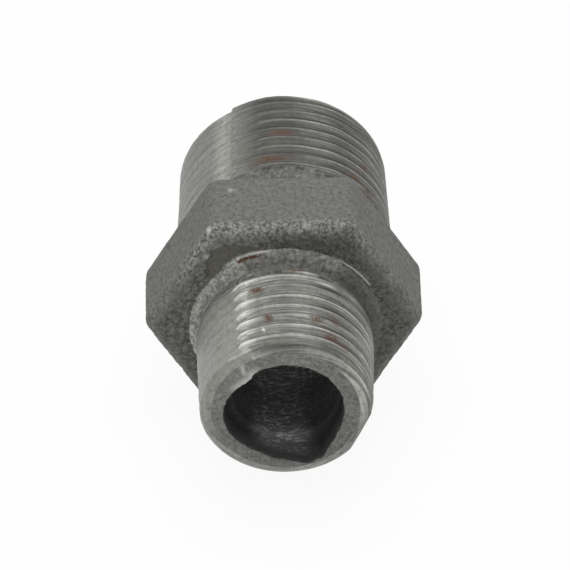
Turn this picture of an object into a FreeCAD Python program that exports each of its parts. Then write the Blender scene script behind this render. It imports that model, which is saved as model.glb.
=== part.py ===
import FreeCAD, Part
import math
import os
import Sketcher
from FreeCAD import Placement, Rotation, Vector

# Reducing hexagon nipple, cast as one piece: a tapered end for a 3/4 inch thread and one for a 1/2 inch
# thread, a hexagon between them, and one stepped hole cast through all three. It lies on a flat.
# In the body's own frame Z is the axis of the nipple, from the face of the large end at Z 0 to the
# face of the small end. X points right and Y points up, as seen looking at the small end.

SIZES = {
    # lengths along the axis
    "large_end_length": 18.9,
    "hexagon_width": 10.4,
    "small_end_length": 16.2,
    # hexagon, with the rounding that a casting has on every edge
    "across_flats": 30.0,
    "corner_round": 2.0,
    "small_side_round": 1.8,
    "large_side_round": 0.5,
    # what both ends share; the taper is the change of diameter for each millimetre of length
    "thread_taper": 0.0625,
    "run_out_length": 2.0,
    "neck_length": 0.8,
    "neck_depth": 0.77,
    # large end: diameter over the crests where they would meet the face, and how far inside them the
    # face ends; the nose leads from there to the crests
    "large_thread_diameter": 26.4,
    "large_thread_length": 16.2,
    "large_face_inset": 0.15,
    "large_nose_length": 0.9,
    "large_collar_diameter": 27.4,
    # small end, in the same way, but its nose has worn round
    "small_thread_diameter": 21.2,
    "small_thread_length": 14.7,
    "small_face_inset": 1.55,
    "small_nose_length": 1.2,
    "small_nose_radius": 1.7,
    "small_collar_diameter": 24.2,
    # the hole, wide up to the hexagon and narrow through the small end
    "large_bore_diameter": 19.6,
    "large_bore_depth": 20.0,
    "bore_cone_length": 3.4,
    "small_bore_diameter": 12.9,
    "mouth_depth": 3.0,
    "mouth_taper": 4.0,
    # the mould's halves had slipped along their joint, so one side of each end is short of metal
    "joint_angle": 115.0,
    "large_end_slip": 1.0,
    "small_end_slip": 0.45,
    "slip_sweep": 90.0,
    # flat that a knock has left on the nose of the small end, deepest at the face
    "knock_angle": -25.0,
    "knock_depth": 0.85,
    "knock_length": 3.5,
}

# Ragged mouth of the hole, anticlockwise: the angle of each corner, how far it stands out from the
# wall of the narrow hole, and how far the arc that follows it does. No arc means a straight edge.
MOUTH = (
    (-18.0, 0.60, 0.60),
    (12.0, 0.60, 0.45),
    (121.0, 0.57, None),
    (130.0, 0.05, None),
    (153.0, 0.47, -0.79),
    (-143.0, 1.01, 2.55),
    (-114.0, 0.79, None),
    (-103.0, 1.14, None),
    (-74.0, 2.35, None),
    (-60.0, 2.19, None),
    (-36.0, 0.89, None),
)

# How far each cutting shape reaches past the metal
REACH = 2.0

WHOLE_LENGTH = "Sizes.large_end_length + Sizes.hexagon_width + Sizes.small_end_length"


def make_sheet(doc):
    """Put the driving sizes into a sheet whose cells the features are bound to."""
    sheet = doc.addObject("Spreadsheet::Sheet", "Sizes")
    for row, (name, value) in enumerate(SIZES.items(), start=1):
        sheet.set(f"A{row}", name)
        sheet.set(f"B{row}", str(value))
        sheet.setAlias(f"B{row}", name)
    doc.recompute()


def new_sketch(body, name, role):
    """Start a sketch on one of the body's own planes."""
    sketch = body.newObject("Sketcher::SketchObject", name)
    plane = next(item for item in body.Origin.OriginFeatures if item.Role == role)
    sketch.AttachmentSupport = [(plane, "")]
    sketch.MapMode = "FlatFace"
    return sketch


def value_of(sketch, expression):
    return float(sketch.evalExpression(expression))


def bind_size(sketch, kind, places, expression):
    """Add a measured constraint that follows the sheet."""
    constraint = Sketcher.Constraint(kind, *places, value_of(sketch, expression))
    number = sketch.addConstraint(constraint)
    sketch.setExpression(f"Constraints[{number}]", expression)


def bind_start(sketch, edge, across, along):
    """Hold the start of an edge at a place that the sheet gives."""
    for kind, axis, expression in (("DistanceX", -2, across), ("DistanceY", -1, along)):
        if abs(value_of(sketch, expression)) < 1e-9:
            sketch.addConstraint(Sketcher.Constraint("PointOnObject", edge, 1, axis))
        else:
            bind_size(sketch, kind, (-1, 1, edge, 1), expression)


def arc_between(start, finish, radius):
    """Arc from start anticlockwise to finish, bulging away from the middle of the hole."""
    half = (finish - start) * 0.5
    inward = Vector(-half.y, half.x, 0).normalize()
    middle = start + half + inward * math.sqrt(radius**2 - half.Length**2)
    first = math.atan2(start.y - middle.y, start.x - middle.x)
    last = math.atan2(finish.y - middle.y, finish.x - middle.x)
    return Part.ArcOfCircle(Part.Circle(middle, Vector(0, 0, 1), radius), first, last)


def draw_outline(sketch, corners, arc_radii=None):
    """Closed outline through corners given as pairs of expressions; edges without a radius are straight."""
    count = len(corners)
    arc_radii = arc_radii or [None] * count
    places = [Vector(value_of(sketch, across), value_of(sketch, along), 0) for across, along in corners]
    for index, radius in enumerate(arc_radii):
        start, finish = places[index], places[(index + 1) % count]
        if radius is None:
            sketch.addGeometry(Part.LineSegment(start, finish), False)
        else:
            sketch.addGeometry(arc_between(start, finish, value_of(sketch, radius)), False)
    for index in range(count):
        sketch.addConstraint(Sketcher.Constraint("Coincident", index, 2, (index + 1) % count, 1))
    for index, (across, along) in enumerate(corners):
        bind_start(sketch, index, across, along)
    for index, radius in enumerate(arc_radii):
        if radius is not None:
            bind_size(sketch, "Radius", (index,), radius)


def turn_profile(body, kind, name, sketch, axis="V_Axis"):
    """Revolve a profile into metal, or take its revolution away, about a line of its own sketch."""
    feature = body.newObject(kind, name)
    feature.Profile = sketch
    feature.ReferenceAxis = (sketch, [axis])
    feature.Angle = 360
    body.Document.recompute()
    return feature


def runs_along_axis(edge):
    return abs(edge.tangentAt(edge.FirstParameter).z) > 0.99


def faces_the_end(height):
    """Pick the edges that lie flat across the axis at one height."""
    return lambda edge: edge.BoundBox.ZLength < 1e-6 and abs(edge.BoundBox.ZMin - height) < 1e-6


def add_fillet(body, base, name, test, radius):
    fillet = body.newObject("PartDesign::Fillet", name)
    edges = [f"Edge{number}" for number, edge in enumerate(base.Shape.Edges, start=1) if test(edge)]
    fillet.Base = (base, edges)
    fillet.setExpression("Radius", radius)
    body.Document.recompute()
    return fillet


def add_hexagon(body):
    """Hexagon between the ends, with flats above and below and every edge rounded."""
    sketch = new_sketch(body, "hexagon_outline", "XY_Plane")
    sketch.setExpression("AttachmentOffset.Base.z", "Sizes.large_end_length")
    radius = "Sizes.across_flats / 2 / cos(30)"
    corners = [(f"{radius} * cos({turn})", f"{radius} * sin({turn})") for turn in range(0, 360, 60)]
    draw_outline(sketch, corners)
    pad = body.newObject("PartDesign::Pad", "hexagon")
    pad.Profile = sketch
    pad.setExpression("Length", "Sizes.hexagon_width")
    body.Document.recompute()
    corners_rounded = add_fillet(body, pad, "hexagon_corners", runs_along_axis, "Sizes.corner_round")
    large_side = value_of(sketch, "Sizes.large_end_length")
    small_side = large_side + value_of(sketch, "Sizes.hexagon_width")
    rounded = add_fillet(
        body, corners_rounded, "small_side_edges", faces_the_end(small_side), "Sizes.small_side_round"
    )
    add_fillet(body, rounded, "large_side_edges", faces_the_end(large_side), "Sizes.large_side_round")


def crest_radius(side, distance):
    """Radius over the crests at a distance from the face of one end."""
    return f"(Sizes.{side}_thread_diameter + Sizes.thread_taper * ({distance})) / 2"


def face_radius(side):
    return f"{crest_radius(side, 0)} - Sizes.{side}_face_inset"


def end_profile(side):
    """Outline of one end from its face to the hexagon: radius, and distance from the face."""
    nose = f"Sizes.{side}_nose_length"
    neck = f"Sizes.{side}_thread_length"
    run_out = f"{neck} - Sizes.run_out_length"
    neck_radius = f"{crest_radius(side, neck)} - Sizes.neck_depth"
    return [
        (face_radius(side), "0"),
        (crest_radius(side, nose), nose),
        (crest_radius(side, run_out), run_out),
        (neck_radius, neck),
        (neck_radius, f"{neck} + Sizes.neck_length"),
        (f"Sizes.{side}_collar_diameter / 2", f"Sizes.{side}_end_length"),
    ]


def add_ends(body):
    """Both tapered ends in one profile, with their noses, run-outs, necks and collars."""
    sketch = new_sketch(body, "ends_profile", "XZ_Plane")
    large = end_profile("large")
    small = [(radius, f"{WHOLE_LENGTH} - ({distance})") for radius, distance in end_profile("small")]
    arcs = [None] * (len(large) + len(small) + 2)
    arcs[-3] = "Sizes.small_nose_radius"
    draw_outline(sketch, [("0", "0")] + large + small[::-1] + [("0", WHOLE_LENGTH)], arcs)
    turn_profile(body, "PartDesign::Revolution", "tapered_ends", sketch)


def add_bore(body):
    """Stepped hole through the whole nipple, with a cone between its two diameters."""
    sketch = new_sketch(body, "bore_profile", "XZ_Plane")
    wide = "Sizes.large_bore_diameter / 2"
    narrow = "Sizes.small_bore_diameter / 2"
    past_face = f"{WHOLE_LENGTH} + {REACH}"
    corners = [
        ("0", f"-{REACH}"),
        (wide, f"-{REACH}"),
        (wide, "Sizes.large_bore_depth"),
        (narrow, "Sizes.large_bore_depth + Sizes.bore_cone_length"),
        (narrow, past_face),
        ("0", past_face),
    ]
    draw_outline(sketch, corners)
    turn_profile(body, "PartDesign::Groove", "bore", sketch)


def add_mouth(body):
    """Ragged, out-of-round mouth that the core left in the face of the small end."""
    sketch = new_sketch(body, "mouth_outline", "XY_Plane")
    sketch.setExpression("AttachmentOffset.Base.z", WHOLE_LENGTH)
    wall = "Sizes.small_bore_diameter / 2"
    corners = []
    arc_radii = []
    for turn, out, arc_out in MOUTH:
        corners.append((f"({wall} + {out}) * cos({turn})", f"({wall} + {out}) * sin({turn})"))
        arc_radii.append(None if arc_out is None else f"{wall} + {arc_out}")
    draw_outline(sketch, corners, arc_radii)
    mouth = body.newObject("PartDesign::Pocket", "mouth")
    mouth.Profile = sketch
    mouth.setExpression("Length", "Sizes.mouth_depth")
    mouth.setExpression("TaperAngle", "-Sizes.mouth_taper")
    body.Document.recompute()


def add_slip(body, side, face, inward):
    """Take off what one end lacks beside the joint of the mould, back to a cone about a slipped axis.

    The face is where the end starts on the body's axis, and inward is 1 or -1 along that axis.
    """
    sketch = new_sketch(body, f"{side}_slip_profile", "XZ_Plane")
    sketch.AttachmentOffset = Placement(Vector(), Rotation(Vector(0, 1, 0), 0))
    sketch.setExpression("AttachmentOffset.Rotation.Angle", "Sizes.joint_angle")
    slip = f"Sizes.{side}_end_slip"
    hexagon = f"Sizes.{side}_end_length"
    corners = []
    for distance, out in ((f"-{REACH}", 0), (hexagon, 0), (hexagon, REACH), (f"-{REACH}", REACH)):
        across = f"{crest_radius(side, distance)} - {slip} + {out}"
        corners.append((across, f"{face} + {inward} * ({distance})"))
    draw_outline(sketch, corners)
    axis = sketch.addGeometry(Part.LineSegment(Vector(-1, 0, 0), Vector(-1, 10, 0)), True)
    sketch.addConstraint(Sketcher.Constraint("Vertical", axis))
    bind_start(sketch, axis, f"-{slip}", face)
    bind_size(sketch, "DistanceY", (axis, 1, axis, 2), hexagon)
    groove = turn_profile(body, "PartDesign::Groove", f"{side}_slip", sketch, axis="Axis0")
    groove.setExpression("Angle", "Sizes.slip_sweep")
    body.Document.recompute()


def add_knock(body):
    """Sloping flat that a knock has left on the nose of the small end."""
    sketch = new_sketch(body, "knock_profile", "XZ_Plane")
    sketch.AttachmentOffset = Placement(Vector(), Rotation(Vector(0, 1, 0), 0))
    sketch.setExpression("AttachmentOffset.Rotation.Angle", "Sizes.knock_angle")
    at_face = f"{crest_radius('small', 0)} - Sizes.knock_depth"
    crest = crest_radius("small", "Sizes.knock_length")
    past_face = f"{WHOLE_LENGTH} + {REACH}"
    corners = [
        (at_face, WHOLE_LENGTH),
        (crest, f"{WHOLE_LENGTH} - Sizes.knock_length"),
        (f"{crest} + {REACH}", f"{WHOLE_LENGTH} - Sizes.knock_length"),
        (f"{crest} + {REACH}", past_face),
        (at_face, past_face),
    ]
    draw_outline(sketch, corners)
    knock = body.newObject("PartDesign::Pocket", "knock")
    knock.Profile = sketch
    knock.Midplane = True
    knock.setExpression("Length", "Sizes.small_thread_diameter")
    body.Document.recompute()


def build(doc):
    make_sheet(doc)
    body = doc.addObject("PartDesign::Body", "reducing_nipple")
    add_hexagon(body)
    add_ends(body)
    add_bore(body)
    add_mouth(body)
    add_slip(body, "large", "0", 1)
    add_slip(body, "small", WHOLE_LENGTH, -1)
    add_knock(body)
    # lying on a flat, with the small end towards -Y and its middle over the origin
    body.Placement = Placement(Vector(), Rotation(Vector(1, 0, 0), 90))
    body.setExpression("Placement.Base.y", f"({WHOLE_LENGTH}) / 2")
    body.setExpression("Placement.Base.z", "Sizes.across_flats / 2")
    doc.recompute()
    return body


def check(doc, body):
    for item in doc.Objects:
        if "Invalid" in item.State or "Error" in item.State:
            raise RuntimeError(f"{item.Label} failed: {item.State}")
    shape = body.Shape
    if shape.isNull() or not shape.isValid() or len(shape.Solids) != 1:
        raise RuntimeError(f"{body.Label} is not one sound solid")


doc = FreeCAD.newDocument("nipple")
body = build(doc)
check(doc, body)
os.makedirs("parts", exist_ok=True)
body.Shape.exportStep(f"parts/{body.Label}.step")
print(body.Label, body.Shape.BoundBox, "volume", round(body.Shape.Volume, 1))
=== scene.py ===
import math

import bmesh
import bpy
import numpy as np
from bpy.props import FloatProperty, FloatVectorProperty, PointerProperty
from mathutils import Euler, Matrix, Quaternion, Vector, noise


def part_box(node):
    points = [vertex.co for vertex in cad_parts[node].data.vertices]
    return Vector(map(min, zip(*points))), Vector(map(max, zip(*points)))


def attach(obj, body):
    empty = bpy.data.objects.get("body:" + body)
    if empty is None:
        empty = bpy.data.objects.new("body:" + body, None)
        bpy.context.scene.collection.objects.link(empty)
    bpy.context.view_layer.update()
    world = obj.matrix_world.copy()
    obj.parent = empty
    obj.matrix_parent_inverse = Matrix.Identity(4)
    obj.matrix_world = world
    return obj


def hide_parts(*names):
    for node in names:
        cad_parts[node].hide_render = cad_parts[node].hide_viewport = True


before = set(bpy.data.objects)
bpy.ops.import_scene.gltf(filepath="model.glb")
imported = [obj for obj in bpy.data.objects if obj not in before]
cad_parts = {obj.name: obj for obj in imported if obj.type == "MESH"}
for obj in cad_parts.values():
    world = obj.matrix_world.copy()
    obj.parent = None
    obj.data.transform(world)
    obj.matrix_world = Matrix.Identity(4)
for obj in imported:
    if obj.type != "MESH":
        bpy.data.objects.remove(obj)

bl_info = {
    "name": "Reducing nipple",
    "version": (1, 0, 0),
    "blender": (4, 5, 0),
    "location": "3D View > Sidebar > Nipple",
    "description": "A cast reducing hexagon nipple with two tapered threads, and a studio to see it in",
    "category": "Object",
}

NODE = "reducing_nipple"
LOW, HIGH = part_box(NODE)
MM = 0.001
TURN = 2 * math.pi


def length(name, description, millimetres):
    return FloatProperty(
        name=name, description=description, default=millimetres * MM, min=0.0, unit="LENGTH", precision=5
    )


def angle(name, description, degrees):
    return FloatProperty(name=name, description=description, default=math.radians(degrees), subtype="ANGLE")


def number(name, description, value):
    return FloatProperty(name=name, description=description, default=value, min=0.0)


def tint(name, description, red, green, blue):
    return FloatVectorProperty(
        name=name, description=description, default=(red, green, blue), size=3, min=0.0, max=1.0,
        subtype="COLOR",
    )


def spot(name, description, across, along, up):
    return FloatVectorProperty(
        name=name, description=description, default=(across * MM, along * MM, up * MM), size=3,
        subtype="TRANSLATION", unit="LENGTH", precision=5,
    )


class LargeEndSizes(bpy.types.PropertyGroup):
    end_length: length("Length", "From the face to the hexagon", 18.9)
    thread_length: length("Thread length", "From the face to the neck", 16.2)
    thread_diameter: length("Thread", "Diameter over the crests, carried on to the face", 26.4)
    thread_depth: length("Thread depth", "Depth of the grooves below the crests", 0.36)
    face_inset: length("Face inset", "How far the flat face ends inside the crests", 0.15)
    nose_length: length("Nose", "Length of the edge of the face", 0.9)
    nose_radius: length("Nose radius", "Radius that the edge of the face is rounded with", 30.0)
    collar_diameter: length("Collar", "Diameter where the end meets the hexagon", 27.4)
    collar_fill: length("Collar fill", "How far the metal left of the joint swells to the hexagon", 0.7)
    collar_ragged: length("Ragged collar", "How far the collar's edge strays along the end", 0.0)
    slip: length("Slip", "How far the mould's halves had slipped at this end", 1.0)
    torn_from: angle("Torn edge from", "How far past the joint the torn edge starts to fall", 2.8)
    torn: angle("Torn edge to", "How far past the joint the torn edge ends", 9.0)
    torn_lean: number("Torn edge lean", "Degrees that the torn edge gains in each millimetre", 0.0)
    # Strength of the painted highlight on the torn edge
    torn_shine: number("Torn edge shine", "How brightly the torn edge is rubbed", 0.0)
    first_crest: length("First crest", "From the face to a crest on top of the end", 1.35)
    smooth_streaks: number("Smooth streaks", "How clear the streaks are left of the joint", 0.45)


class SmallEndSizes(bpy.types.PropertyGroup):
    end_length: length("Length", "From the face to the hexagon", 16.2)
    thread_length: length("Thread length", "From the face to the neck", 14.7)
    thread_diameter: length("Thread", "Diameter over the crests, carried on to the face", 21.2)
    thread_depth: length("Thread depth", "Depth of the grooves below the crests", 0.5)
    face_inset: length("Face inset", "How far the flat face ends inside the crests", 1.55)
    nose_length: length("Nose", "Length of the edge of the face", 1.2)
    nose_radius: length("Nose radius", "Radius that the edge of the face is rounded with", 1.7)
    collar_diameter: length("Collar", "Diameter where the end meets the hexagon", 24.2)
    collar_fill: length("Collar fill", "How far the metal left of the joint swells to the hexagon", 0.7)
    collar_ragged: length("Ragged collar", "How far the collar's edge strays along the end", 0.3)
    slip: length("Slip", "How far the mould's halves had slipped at this end", 0.45)
    torn_from: angle("Torn edge from", "How far past the joint the torn edge starts to fall", 4.4)
    torn: angle("Torn edge to", "How far past the joint the torn edge ends", 7.8)
    torn_lean: number("Torn edge lean", "Degrees that the torn edge gains in each millimetre", 0.4)
    # Strength of the painted highlight on the torn edge
    torn_shine: number("Torn edge shine", "How brightly the torn edge is rubbed", 1.0)
    first_crest: length("First crest", "From the face to a crest on top of the end", 0.03)
    smooth_streaks: number("Smooth streaks", "How clear the streaks are left of the joint", 0.13)
    knock_angle: angle("Knock", "Where a knock has left a flat on the nose", -25.0)
    knock_depth: length("Knock depth", "Depth of the flat below the crests at the face", 0.85)
    knock_length: length("Knock length", "Length of the flat along the end", 3.5)


class CastingSizes(bpy.types.PropertyGroup):
    across_flats: length("Across flats", "Width of the hexagon between two flats", (HIGH.z - LOW.z) / MM)
    corner_round: length("Corner round", "Radius on the hexagon's corners", 2.0)
    small_side_round: length("Edge round", "Radius on the hexagon's edges towards the small end", 1.8)
    large_side_round: length("Far edge round", "Radius on the hexagon's edges towards the large end", 0.5)
    wide_bore: length("Wide hole", "Diameter of the hole through the large end", 19.6)
    wide_depth: length("Wide depth", "Depth of the wide hole", 20.0)
    bore_cone: length("Cone", "Length of the cone between the two holes", 3.4)
    narrow_bore: length("Narrow hole", "Diameter of the hole through the small end", 12.9)
    mouth_depth: length("Mouth depth", "Depth of the ragged mouth", 3.0)
    mouth_taper: angle("Mouth taper", "How much the mouth narrows inwards", 4.0)
    mouth_ragged: length("Ragged mouth", "How far the edge of the mouth strays in and out", 0.09)
    mouth_ledge: length("Ledge", "How far the foot of the mouth may stand into the narrow hole", 0.35)
    pitch: length("Pitch", "From one crest of the thread to the next", 1.814)
    run_out: length("Run-out", "Length over which the thread runs out", 2.0)
    neck: length("Neck", "Length of the neck behind the thread", 0.8)
    neck_depth: length("Neck depth", "Depth of the neck below the crests", 0.77)
    taper: number("Taper", "Change of diameter for each unit of length", 0.0625)
    joint_angle: angle("Joint of the mould", "Where the mould's halves met, seen from the small end", 115.0)
    cast_grain: length("Cast grain", "Height of the sand's grain on the raw casting", 0.07)
    worn_edge: length("Worn edge", "How far the sharp edges have worn round", 0.25)
    lap_height: length("Lap", "Height of the lap and the burr round the small collar", 0.12)
    pit_depth: length("Pit", "Depth of the rusted pit under the lap", 0.425)
    patch_depth: length("Smooth patch", "Depth of the smooth patch beside the lap", 0.3)


class IronFinish(bpy.types.PropertyGroup):
    skin: tint("Cast skin", "Colour of the raw casting", 0.168, 0.167, 0.156)
    lumps: tint("Lumps", "Colour of the rubbed lumps on edges and corners", 0.33, 0.328, 0.308)
    pits: tint("Pits", "Colour in the pits of the raw casting", 0.06, 0.059, 0.054)
    sparkle: tint("Bright grain", "Colour of the grains that catch the light", 0.42, 0.42, 0.40)
    cut: tint("Cut iron", "Colour of the machined thread", 0.25, 0.25, 0.23)
    # Crests: partly the rubbed metal's own lighter colour, and the colour of every painted highlight: lines
    # on the crests, the torn edge, the glints, the edges of the lap, the burr and the mouth, and bright
    # scratches
    crest: tint("Crests", "Colour of the thread's rubbed crests and torn edge", 0.7, 0.7, 0.66)
    # Groove: painted shade in the thread's grooves, and dark scores and blotches on the thread
    root: tint("Groove", "Colour in the roots of the thread", 0.045, 0.044, 0.039)
    rust: tint("Rust", "Colour of the rust", 0.108, 0.055, 0.031)
    olive: tint("Oil film", "Colour of the old oil in the corners", 0.14, 0.134, 0.105)
    soot: tint("Hole", "Colour of the sooty wall of the hole", 0.12, 0.12, 0.123)
    scale: tint("Scale in the hole", "Colour of the grains and folds in the hole", 0.4, 0.392, 0.38)


class StageSettings(bpy.types.PropertyGroup):
    floor: tint("Floor", "Colour of the floor", 0.95, 0.95, 0.95)
    floor_width: length("Floor width", "Width of the floor", 6000.0)
    sky: number("Sky", "Brightness of the room's plain light", 0.35)
    floor_white: number("Floor white", "Share of plain white in the floor as the camera sees it", 0.93)
    softbox_power: number("Softbox power", "Power of the softbox overhead in watts", 2.0)
    softbox_size: length("Softbox size", "Width of the softbox", 500.0)
    softbox_place: spot("Softbox", "Middle of the softbox overhead", 0.0, 60.0, 500.0)
    camera_aim: spot("Camera aim", "Point that the camera looks at", 0.232, -0.75, 16.599)
    camera_distance: length("Camera distance", "From the camera to the point that it looks at", 740.769)
    camera_height: angle("Camera height", "Angle of the camera above the horizon", 39.428)
    camera_roll: angle("Camera roll", "Tilt of the picture", -1.209)
    lens: number("Lens", "Focal length of the lens in millimetres", 378.947)


# Ragged mouth in the small end, anticlockwise: the angle of each corner in degrees, how far it stands
# out from the wall of the narrow hole in millimetres, and how far the arc after it does, if it is one
MOUTH = (
    (-18.0, 0.60, 0.60),
    (12.0, 0.60, 0.45),
    (121.0, 0.57, None),
    (130.0, 0.05, None),
    (153.0, 0.47, -0.79),
    (-143.0, 1.01, 2.55),
    (-114.0, 0.79, None),
    (-103.0, 1.14, None),
    (-74.0, 2.35, None),
    (-60.0, 2.19, None),
    (-36.0, 0.89, None),
)

# One turn of the thread: distance in millimetres from a crest, away from the camera, and the share of the
# depth there. The worn side that rises again towards the next crest is long and flat.
THREAD_FORM = (
    (0.0, 0.0), (0.1, 0.08), (0.24, 0.72), (0.36, 1.0), (0.5, 0.96), (0.9, 0.62), (1.35, 0.3), (1.68, 0.1),
)

# Share of the groove's depth that is cut in the short metal, by degrees past the mould's joint
SHORT_GROOVE = ((0.0, 0.06), (60.0, 0.16), (115.0, 1.0))

# Painted light and shade on the cut iron round each end, in bands along the axis that stand in for
# reflections of the room: an angle in degrees, and how much lighter or darker the iron is painted there
SMALL_END_PAINTED_LIGHT = (
    (0.0, 0.8), (12.0, 1.15), (40.0, 1.12), (54.0, 0.88), (66.0, 0.9), (78.0, 0.62), (88.0, 0.42),
    (98.0, 0.5), (107.0, 0.7), (114.0, 1.15), (121.0, 1.15), (126.0, 1.2), (150.0, 1.2), (180.0, 1.25),
    (195.0, 1.1), (220.0, 0.75), (345.0, 0.65), (360.0, 0.8),
)
LARGE_END_PAINTED_LIGHT = (
    (0.0, 0.65), (45.0, 0.62), (55.0, 0.55), (64.0, 0.72), (74.0, 0.6), (84.0, 0.36), (98.0, 0.34),
    (104.0, 0.5), (114.0, 0.92), (121.0, 1.32), (127.0, 1.2), (134.0, 0.76), (180.0, 0.7), (360.0, 0.65),
)

# Painted shade in the grooves round each end, darkest on the right, away from the light: an angle in
# degrees, and the share of the painted shade there. On the smooth metal left of the joint the share is
# the same everywhere.
SMALL_END_SHADE = ((0.0, 1.0), (60.0, 1.0), (76.0, 0.5), (112.0, 0.45), (118.0, 0.2), (360.0, 1.0))
LARGE_END_SHADE = (
    (0.0, 1.0), (60.0, 0.85), (80.0, 0.65), (104.0, 0.55), (114.0, 0.15), (125.0, 0.15), (360.0, 1.0),
)
SMOOTH_SHADE = 0.12

# How far the crests are rubbed down round an end: an angle in degrees, and millimetres
UNWORN = ((0.0, 0.0), (360.0, 0.0))
LARGE_END_WEAR = (
    (0.0, 0.0), (58.0, 0.0), (74.0, 0.24), (92.0, 0.26), (98.0, 0.3), (104.0, 0.42), (111.0, 0.54),
    (120.0, 0.6), (126.0, 0.2), (131.0, 0.0), (360.0, 0.0),
)

# Spots of rust and painted highlights on the ends: the angle in degrees, the distance from the end's face,
# and the half sizes round the axis and along it in millimetres
SMALL_END_RUST = (
    (108.0, 10.5, 0.94, 0.4),
    (100.0, 5.2, 0.5, 0.7),
    (68.0, 5.5, 0.85, 0.45),
    (54.0, 6.1, 0.8, 0.5),
    (57.0, 3.0, 0.9, 0.5),
    (47.0, 2.6, 0.95, 0.5),
    (81.0, 13.9, 0.85, 0.55),
)
LARGE_END_RUST = (
    (89.0, 7.7, 1.5, 0.5),
    (95.5, 13.0, 2.0, 0.6),
    (39.0, 9.3, 0.6, 0.6),
    (47.0, 12.9, 0.8, 0.5),
    (38.0, 13.8, 0.9, 0.4),
)
SMALL_END_GLINTS = (
    (75.8, 13.7, 1.5, 0.12),
    (60.0, 12.3, 1.3, 0.14),
    (84.0, 0.75, 0.9, 0.06),
    (97.0, 0.6, 1.0, 0.05),
    (118.0, 0.5, 0.8, 0.06),
    (127.0, 0.5, 0.8, 0.07),
    (104.0, 3.1, 0.13, 0.06),
)

# Painted light and shade on the small end's own face, lightest on top, and the painted highlight on the lip
# of its mouth, both by angle in degrees
SMALL_FACE_PAINTED_LIGHT = (
    (0.0, 1.15), (40.0, 1.25), (90.0, 1.38), (180.0, 1.3), (225.0, 1.15), (270.0, 1.0), (315.0, 1.02),
    (360.0, 1.15),
)
MOUTH_HIGHLIGHT = ((0.0, 0.0), (112.0, 0.0), (124.0, 1.0), (146.0, 0.8), (156.0, 0.0), (360.0, 0.0))

# Painted highlight along the mould's seam on the small end's face: millimetres across at the height of the
# axis, and how far it leans for each millimetre up
SEAM_ACROSS = -3.7
SEAM_LEAN = -0.2

# Angles in degrees of the middle of the painted light in the hole, of the small collar's side with painted
# shade, and of the side where the lumps on the hexagon's edge show most
HOLE_FLOOR = -97.0
DARK_SIDE = -10.0
LUMPY_SIDE = 95.0

# Painted light and shade on the hexagon's face round the small end: an angle in degrees, and how much
# lighter or darker the iron is painted there
FACE_PAINTED_LIGHT = (
    (0.0, 0.82), (40.0, 0.78), (58.0, 0.68), (94.0, 0.66), (104.0, 1.0), (125.0, 1.08), (180.0, 0.97),
    (270.0, 0.95), (360.0, 0.82),
)

# Outer edge of the smooth patch beside the joint on the hexagon's face: an angle in degrees, and the
# distance from the axis in millimetres
SMOOTH_PATCH = (
    (102.0, 0.0), (104.0, 12.4), (112.0, 13.6), (118.0, 14.2), (125.0, 14.6), (133.0, 13.6), (140.0, 12.2),
    (143.0, 0.0),
)

# Lap of metal between the collar and the smooth patch, in the same way. The rusted pit under it starts at an
# angle of its own, and the rust there is denser than in the spots.
LAP = ((95.0, 11.8), (104.0, 11.88), (118.0, 11.86))
PIT_FROM = 102.0
PIT_RUST = 1.7

# Burr on the other side of the collar: where it starts and ends in degrees, and its distance from the axis
# in millimetres
BURR_FROM = 28.0
BURR_TO = 60.0
BURR_RADIUS = 12.2

# Painted highlights on the hexagon: millimetres across, behind its face and above the axis, half the size,
# and how bright each is
HEXAGON_GLINTS = (
    (-6.1, 8.0, 15.0, 0.3, 0.45),
    (-8.9, 1.2, 14.2, 0.4, 0.8),
    (-9.2, 0.0, 11.0, 0.25, 0.7),
    (-9.6, 0.0, 11.0, 0.2, 0.7),
)

# Distances in millimetres of the rings round the edge of a face, up to where the rows of the thread begin
NOSE_RINGS = (0.0, 0.015, 0.05, 0.11, 0.2, 0.31, 0.45)

# Columns of the mesh in degrees: their usual step, their places beside each corner of the hexagon, and the
# span past the mould's joint in which they have a finer step
COLUMN_STEP = 1.5
CORNER_COLUMNS = (-3.7, -2.2, -0.7, 0.7, 2.2, 3.7)
TORN_SPAN = 11.9
TORN_STEP = 0.8

# Points of the mesh that lie nearer to each other than this, in millimetres, become one
MERGE_WITHIN = 0.002

# Painted highlight on the torn edge at the joint: how high in millimetres a torn end stands where it is at
# its brightest, and between which degrees past the joint the painted highlight on the thread grows
TORN_HEIGHT = 0.14
HIGHLIGHT_FROM = -9.0
HIGHLIGHT_TO = 4.0


def sizes():
    return bpy.context.scene.nipple_casting


def past_joint(turn):
    """How far a point lies past the mould's joint, anticlockwise, from 0 to a whole turn."""
    return (turn - sizes().joint_angle) % TURN


def column_angles():
    """Angles of the mesh's columns, closer together at the hexagon's corners and the mould's joint."""
    joint = math.degrees(sizes().joint_angle)
    angles = set(np.round(np.arange(0.0, 360.0, COLUMN_STEP), 3))
    for corner in range(0, 360, 60):
        angles.update((corner + side) % 360 for side in CORNER_COLUMNS)
    angles = {place for place in angles if not -0.4 < place - joint < TORN_SPAN}
    angles.update(joint + side for side in (-0.2, 0.2, *np.arange(1.0, TORN_SPAN, TORN_STEP)))
    ordered = np.array(sorted(angles))
    seam = int(np.argmax(ordered > joint))
    return np.radians(np.concatenate((ordered[seam:], ordered[:seam] + 360.0)))


def ring_places(turn, radius=12.0, along=0.0):
    """Points round the axis in millimetres, where the noise is read."""
    return np.stack((np.cos(turn) * radius, along + 0 * turn, np.sin(turn) * radius), axis=1)


def uneven(places, scale):
    """Smooth random values between about -1 and 1 at places in millimetres."""
    return np.array([noise.noise(Vector(place) * scale) for place in places])


def by_angle(turn, table):
    """Values from a table that gives them by angle in degrees."""
    angles, values = zip(*table)
    return np.interp(np.degrees(turn) % 360, angles, values)


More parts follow.
